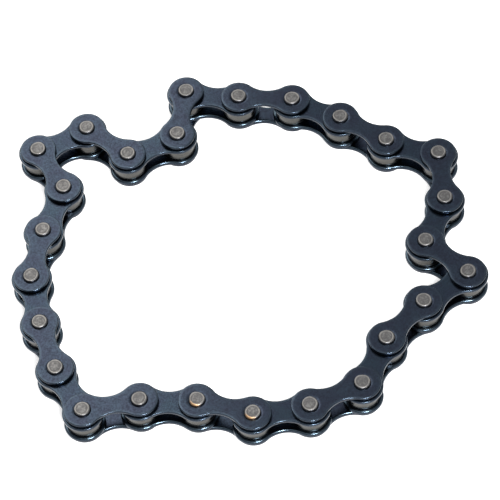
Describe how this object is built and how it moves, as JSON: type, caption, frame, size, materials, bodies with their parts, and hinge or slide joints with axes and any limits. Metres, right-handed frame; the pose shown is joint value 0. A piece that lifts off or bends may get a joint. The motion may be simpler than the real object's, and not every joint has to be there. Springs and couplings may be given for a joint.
{
  "type": "roller chain",
  "caption": "Endless loop of fine roller chain with figure-eight blued plates, riveted pins, bushes, turning rollers and a joining link, lying on its side.",
  "frame": {"origin": "middle of the box round the loop as it lies, on the plane of the lower pin ends", "axes": "+Z along the pins, up from the surface the chain lies on; +X along the loop's longer side"},
  "size_m": [0.1078, 0.0988, 0.0086],
  "materials": {
    "plate_steel": "blued, satin",
    "pin_steel": "bare, satin",
    "bush_steel": "bare, satin",
    "roller_steel": "bare, lightly oiled"
  },
  "bodies": {
    "inner_link_01": {"inner_link_01": "plate_steel"},
    "outer_link_02": {"outer_link_02": "plate_steel"},
    "inner_link_03": {"inner_link_03": "plate_steel"},
    "outer_link_04": {"outer_link_04": "plate_steel"},
    "inner_link_05": {"inner_link_05": "plate_steel"},
    "outer_link_06": {"outer_link_06": "plate_steel"},
    "inner_link_07": {"inner_link_07": "plate_steel"},
    "outer_link_08": {"outer_link_08": "plate_steel"},
    "inner_link_09": {"inner_link_09": "plate_steel"},
    "joining_link": {"joining_link_top_plate": "plate_steel", "joining_link_bottom_plate": "plate_steel", "joining_link_first_pin": "pin_steel", "joining_link_second_pin": "pin_steel"},
    "inner_link_11": {"inner_link_11_top_plate": "plate_steel", "inner_link_11_bottom_plate": "plate_steel", "inner_link_11_first_bush": "bush_steel", "inner_link_11_second_bush": "bush_steel"},
    "outer_link_12": {"outer_link_12": "plate_steel"},
    "inner_link_13": {"inner_link_13": "plate_steel"},
    "outer_link_14": {"outer_link_14": "plate_steel"},
    "inner_link_15": {"inner_link_15": "plate_steel"},
    "outer_link_16": {"outer_link_16": "plate_steel"},
    "inner_link_17": {"inner_link_17": "plate_steel"},
    "outer_link_18": {"outer_link_18": "plate_steel"},
    "inner_link_19": {"inner_link_19": "plate_steel"},
    "outer_link_20": {"outer_link_20": "plate_steel"},
    "inner_link_21": {"inner_link_21": "plate_steel"},
    "outer_link_22": {"outer_link_22": "plate_steel"},
    "inner_link_23": {"inner_link_23": "plate_steel"},
    "outer_link_24": {"outer_link_24": "plate_steel"},
    "inner_link_25": {"inner_link_25": "plate_steel"},
    "outer_link_26": {"outer_link_26": "plate_steel"},
    "roller_01": {"roller_01": "roller_steel"},
    "roller_02": {"roller_02": "roller_steel"},
    "roller_03": {"roller_03": "roller_steel"},
    "roller_04": {"roller_04": "roller_steel"},
    "roller_05": {"roller_05": "roller_steel"},
    "roller_06": {"roller_06": "roller_steel"},
    "roller_07": {"roller_07": "roller_steel"},
    "roller_08": {"roller_08": "roller_steel"},
    "roller_09": {"roller_09": "roller_steel"},
    "roller_10": {"roller_10": "roller_steel"},
    "roller_11": {"roller_11": "roller_steel"},
    "roller_12": {"roller_12": "roller_steel"},
    "roller_13": {"roller_13": "roller_steel"},
    "roller_14": {"roller_14": "roller_steel"},
    "roller_15": {"roller_15": "roller_steel"},
    "roller_16": {"roller_16": "roller_steel"},
    "roller_17": {"roller_17": "roller_steel"},
    "roller_18": {"roller_18": "roller_steel"},
    "roller_19": {"roller_19": "roller_steel"},
    "roller_20": {"roller_20": "roller_steel"},
    "roller_21": {"roller_21": "roller_steel"},
    "roller_22": {"roller_22": "roller_steel"},
    "roller_23": {"roller_23": "roller_steel"},
    "roller_24": {"roller_24": "roller_steel"},
    "roller_25": {"roller_25": "roller_steel"},
    "roller_26": {"roller_26": "roller_steel"}
  },
  "joints": [
    {"name": "pivot_24", "type": "hinge", "parent": "inner_link_23", "child": "outer_link_24", "pos_m": [-0.01081, 0.04477, 0.0043], "axis": [0, 0, 1], "range_deg": [-33, 33]},
    {"name": "pivot_25", "type": "hinge", "parent": "outer_link_24", "child": "inner_link_25", "pos_m": [-0.01367, 0.0324, 0.0043], "axis": [0, 0, 1], "range_deg": [-15.13, 15.13]},
    {"name": "pivot_26", "type": "hinge", "parent": "inner_link_25", "child": "outer_link_26", "pos_m": [-0.02558, 0.028, 0.0043], "axis": [0, 0, 1], "range_deg": [-16.72, 16.72]},
    {"name": "pivot_01", "type": "hinge", "parent": "outer_link_26", "child": "inner_link_01", "pos_m": [-0.03489, 0.03664, 0.0043], "axis": [0, 0, 1], "range_deg": [-24.67, 24.67]},
    {"name": "pivot_02", "type": "hinge", "parent": "inner_link_01", "child": "outer_link_02", "pos_m": [-0.04658, 0.03168, 0.0043], "axis": [0, 0, 1], "range_deg": [-15, 15]},
    {"name": "pivot_03", "type": "hinge", "parent": "outer_link_02", "child": "inner_link_03", "pos_m": [-0.04101, 0.02027, 0.0043], "axis": [0, 0, 1], "range_deg": [-15.15, 15.15]},
    {"name": "pivot_04", "type": "hinge", "parent": "inner_link_03", "child": "outer_link_04", "pos_m": [-0.04618, 0.00867, 0.0043], "axis": [0, 0, 1], "range_deg": [-40.08, 40.08]},
    {"name": "pivot_05", "type": "hinge", "parent": "outer_link_04", "child": "inner_link_05", "pos_m": [-0.04925, -0.00366, 0.0043], "axis": [0, 0, 1], "range_deg": [-35.3, 35.3]},
    {"name": "pivot_06", "type": "hinge", "parent": "inner_link_05", "child": "outer_link_06", "pos_m": [-0.0477, -0.01626, 0.0043], "axis": [0, 0, 1], "range_deg": [-13.66, 13.66]},
    {"name": "pivot_07", "type": "hinge", "parent": "outer_link_06", "child": "inner_link_07", "pos_m": [-0.04463, -0.02859, 0.0043], "axis": [0, 0, 1], "range_deg": [-21.38, 21.38]},
    {"name": "pivot_08", "type": "hinge", "parent": "inner_link_07", "child": "outer_link_08", "pos_m": [-0.03906, -0.04, 0.0043], "axis": [0, 0, 1], "range_deg": [-39.3, 39.3]},
    {"name": "pivot_09", "type": "hinge", "parent": "outer_link_08", "child": "inner_link_09", "pos_m": [-0.02643, -0.03867, 0.0043], "axis": [0, 0, 1], "range_deg": [-26.14, 26.14]},
    {"name": "pivot_10", "type": "hinge", "parent": "inner_link_09", "child": "joining_link", "pos_m": [-0.01382, -0.04022, 0.0043], "axis": [0, 0, 1], "range_deg": [-13.53, 13.53]},
    {"name": "pivot_23", "type": "hinge", "parent": "inner_link_23", "child": "outer_link_22", "pos_m": [0.00151, 0.0417, 0.0043], "axis": [0, 0, 1], "range_deg": [-40, 40]},
    {"name": "pivot_22", "type": "hinge", "parent": "outer_link_22", "child": "inner_link_21", "pos_m": [0.01402, 0.03949, 0.0043], "axis": [0, 0, 1], "range_deg": [-40.64, 40.64]},
    {"name": "pivot_21", "type": "hinge", "parent": "inner_link_21", "child": "outer_link_20", "pos_m": [0.02491, 0.03295, 0.0043], "axis": [0, 0, 1], "range_deg": [-22.76, 22.76]},
    {"name": "pivot_20", "type": "hinge", "parent": "outer_link_20", "child": "inner_link_19", "pos_m": [0.03491, 0.02513, 0.0043], "axis": [0, 0, 1], "range_deg": [-15.5, 15.5]},
    {"name": "pivot_19", "type": "hinge", "parent": "inner_link_19", "child": "outer_link_18", "pos_m": [0.04652, 0.01997, 0.0043], "axis": [0, 0, 1], "range_deg": [-24.2, 24.2]},
    {"name": "pivot_18", "type": "hinge", "parent": "outer_link_18", "child": "inner_link_17", "pos_m": [0.04652, 0.00727, 0.0043], "axis": [0, 0, 1], "range_deg": [-30.86, 30.86]},
    {"name": "pivot_17", "type": "hinge", "parent": "inner_link_17", "child": "outer_link_16", "pos_m": [0.04075, -0.00405, 0.0043], "axis": [0, 0, 1], "range_deg": [-24.31, 24.31]},
    {"name": "pivot_16", "type": "hinge", "parent": "outer_link_16", "child": "inner_link_15", "pos_m": [0.04925, -0.01349, 0.0043], "axis": [0, 0, 1], "range_deg": [-22.82, 22.82]},
    {"name": "pivot_15", "type": "hinge", "parent": "inner_link_15", "child": "outer_link_14", "pos_m": [0.03848, -0.02022, 0.0043], "axis": [0, 0, 1], "range_deg": [-17.16, 17.16]},
    {"name": "pivot_14", "type": "hinge", "parent": "outer_link_14", "child": "inner_link_13", "pos_m": [0.02919, -0.02888, 0.0043], "axis": [0, 0, 1], "range_deg": [-21.34, 21.34]},
    {"name": "pivot_13", "type": "hinge", "parent": "inner_link_13", "child": "outer_link_12", "pos_m": [0.02265, -0.03976, 0.0043], "axis": [0, 0, 1], "range_deg": [-7.07, 7.07]},
    {"name": "pivot_12", "type": "hinge", "parent": "outer_link_12", "child": "inner_link_11", "pos_m": [0.01071, -0.04411, 0.0043], "axis": [0, 0, 1], "range_deg": [-18.87, 18.87]},
    {"name": "roller_01_spin", "type": "hinge", "parent": "inner_link_01", "child": "roller_01", "pos_m": [-0.03489, 0.03664, 0.0043], "axis": [0, 0, 1], "continuous": true},
    {"name": "roller_02_spin", "type": "hinge", "parent": "inner_link_01", "child": "roller_02", "pos_m": [-0.04658, 0.03168, 0.0043], "axis": [0, 0, 1], "continuous": true},
    {"name": "roller_03_spin", "type": "hinge", "parent": "inner_link_03", "child": "roller_03", "pos_m": [-0.04101, 0.02027, 0.0043], "axis": [0, 0, 1], "continuous": true},
    {"name": "roller_04_spin", "type": "hinge", "parent": "inner_link_03", "child": "roller_04", "pos_m": [-0.04618, 0.00867, 0.0043], "axis": [0, 0, 1], "continuous": true},
    {"name": "roller_05_spin", "type": "hinge", "parent": "inner_link_05", "child": "roller_05", "pos_m": [-0.04925, -0.00366, 0.0043], "axis": [0, 0, 1], "continuous": true},
    {"name": "roller_06_spin", "type": "hinge", "parent": "inner_link_05", "child": "roller_06", "pos_m": [-0.0477, -0.01626, 0.0043], "axis": [0, 0, 1], "continuous": true},
    {"name": "roller_07_spin", "type": "hinge", "parent": "inner_link_07", "child": "roller_07", "pos_m": [-0.04463, -0.02859, 0.0043], "axis": [0, 0, 1], "continuous": true},
    {"name": "roller_08_spin", "type": "hinge", "parent": "inner_link_07", "child": "roller_08", "pos_m": [-0.03906, -0.04, 0.0043], "axis": [0, 0, 1], "continuous": true},
    {"name": "roller_09_spin", "type": "hinge", "parent": "inner_link_09", "child": "roller_09", "pos_m": [-0.02643, -0.03867, 0.0043], "axis": [0, 0, 1], "continuous": true},
    {"name": "roller_10_spin", "type": "hinge", "parent": "inner_link_09", "child": "roller_10", "pos_m": [-0.01382, -0.04022, 0.0043], "axis": [0, 0, 1], "continuous": true},
    {"name": "roller_11_spin", "type": "hinge", "parent": "inner_link_11", "child": "roller_11", "pos_m": [-0.00197, -0.04477, 0.0043], "axis": [0, 0, 1], "continuous": true},
    {"name": "roller_12_spin", "type": "hinge", "parent": "inner_link_11", "child": "roller_12", "pos_m": [0.01071, -0.04411, 0.0043], "axis": [0, 0, 1], "continuous": true},
    {"name": "roller_13_spin", "type": "hinge", "parent": "inner_link_13", "child": "roller_13", "pos_m": [0.02265, -0.03976, 0.0043], "axis": [0, 0, 1], "continuous": true},
    {"name": "roller_14_spin", "type": "hinge", "parent": "inner_link_13", "child": "roller_14", "pos_m": [0.02919, -0.02888, 0.0043], "axis": [0, 0, 1], "continuous": true},
    {"name": "roller_15_spin", "type": "hinge", "parent": "inner_link_15", "child": "roller_15", "pos_m": [0.03848, -0.02022, 0.0043], "axis": [0, 0, 1], "continuous": true},
    {"name": "roller_16_spin", "type": "hinge", "parent": "inner_link_15", "child": "roller_16", "pos_m": [0.04925, -0.01349, 0.0043], "axis": [0, 0, 1], "continuous": true},
    {"name": "roller_17_spin", "type": "hinge", "parent": "inner_link_17", "child": "roller_17", "pos_m": [0.04075, -0.00405, 0.0043], "axis": [0, 0, 1], "continuous": true},
    {"name": "roller_18_spin", "type": "hinge", "parent": "inner_link_17", "child": "roller_18", "pos_m": [0.04652, 0.00727, 0.0043], "axis": [0, 0, 1], "continuous": true},
    {"name": "roller_19_spin", "type": "hinge", "parent": "inner_link_19", "child": "roller_19", "pos_m": [0.04652, 0.01997, 0.0043], "axis": [0, 0, 1], "continuous": true},
    {"name": "roller_20_spin", "type": "hinge", "parent": "inner_link_19", "child": "roller_20", "pos_m": [0.03491, 0.02513, 0.0043], "axis": [0, 0, 1], "continuous": true},
    {"name": "roller_21_spin", "type": "hinge", "parent": "inner_link_21", "child": "roller_21", "pos_m": [0.02491, 0.03295, 0.0043], "axis": [0, 0, 1], "continuous": true},
    {"name": "roller_22_spin", "type": "hinge", "parent": "inner_link_21", "child": "roller_22", "pos_m": [0.01402, 0.03949, 0.0043], "axis": [0, 0, 1], "continuous": true},
    {"name": "roller_23_spin", "type": "hinge", "parent": "inner_link_23", "child": "roller_23", "pos_m": [0.00151, 0.0417, 0.0043], "axis": [0, 0, 1], "continuous": true},
    {"name": "roller_24_spin", "type": "hinge", "parent": "inner_link_23", "child": "roller_24", "pos_m": [-0.01081, 0.04477, 0.0043], "axis": [0, 0, 1], "continuous": true},
    {"name": "roller_25_spin", "type": "hinge", "parent": "inner_link_25", "child": "roller_25", "pos_m": [-0.01367, 0.0324, 0.0043], "axis": [0, 0, 1], "continuous": true},
    {"name": "roller_26_spin", "type": "hinge", "parent": "inner_link_25", "child": "roller_26", "pos_m": [-0.02558, 0.028, 0.0043], "axis": [0, 0, 1], "continuous": true}
  ],
  "couplings": [
    {"joint": "pivot_25", "follows": "pivot_24", "ratio": -0.45699},
    {"joint": "pivot_26", "follows": "pivot_24", "ratio": 0.50527},
    {"joint": "pivot_01", "follows": "pivot_24", "ratio": -0.74603},
    {"joint": "pivot_02", "follows": "pivot_24", "ratio": 0.45316},
    {"joint": "pivot_03", "follows": "pivot_24", "ratio": 0.45756},
    {"joint": "pivot_04", "follows": "pivot_24", "ratio": -1.213},
    {"joint": "pivot_05", "follows": "pivot_23", "ratio": 0.88118},
    {"joint": "pivot_06", "follows": "pivot_23", "ratio": -0.34015},
    {"joint": "pivot_07", "follows": "pivot_23", "ratio": -0.53323},
    {"joint": "pivot_08", "follows": "pivot_23", "ratio": 0.98132},
    {"joint": "pivot_09", "follows": "pivot_23", "ratio": -0.65215},
    {"joint": "pivot_10", "follows": "pivot_23", "ratio": -0.33696},
    {"joint": "pivot_22", "follows": "pivot_23", "ratio": -1.0148},
    {"joint": "pivot_21", "follows": "pivot_23", "ratio": 0.56763},
    {"joint": "pivot_20", "follows": "pivot_23", "ratio": -0.38636},
    {"joint": "pivot_19", "follows": "pivot_23", "ratio": 0.60369},
    {"joint": "pivot_18", "follows": "pivot_23", "ratio": -0.77016},
    {"joint": "pivot_17", "follows": "pivot_24", "ratio": 0.73511},
    {"joint": "pivot_16", "follows": "pivot_24", "ratio": -0.68992},
    {"joint": "pivot_15", "follows": "pivot_24", "ratio": 0.51855},
    {"joint": "pivot_14", "follows": "pivot_24", "ratio": 0.64527},
    {"joint": "pivot_13", "follows": "pivot_24", "ratio": -0.21285},
    {"joint": "pivot_12", "follows": "pivot_24", "ratio": -0.5702}
  ]
}
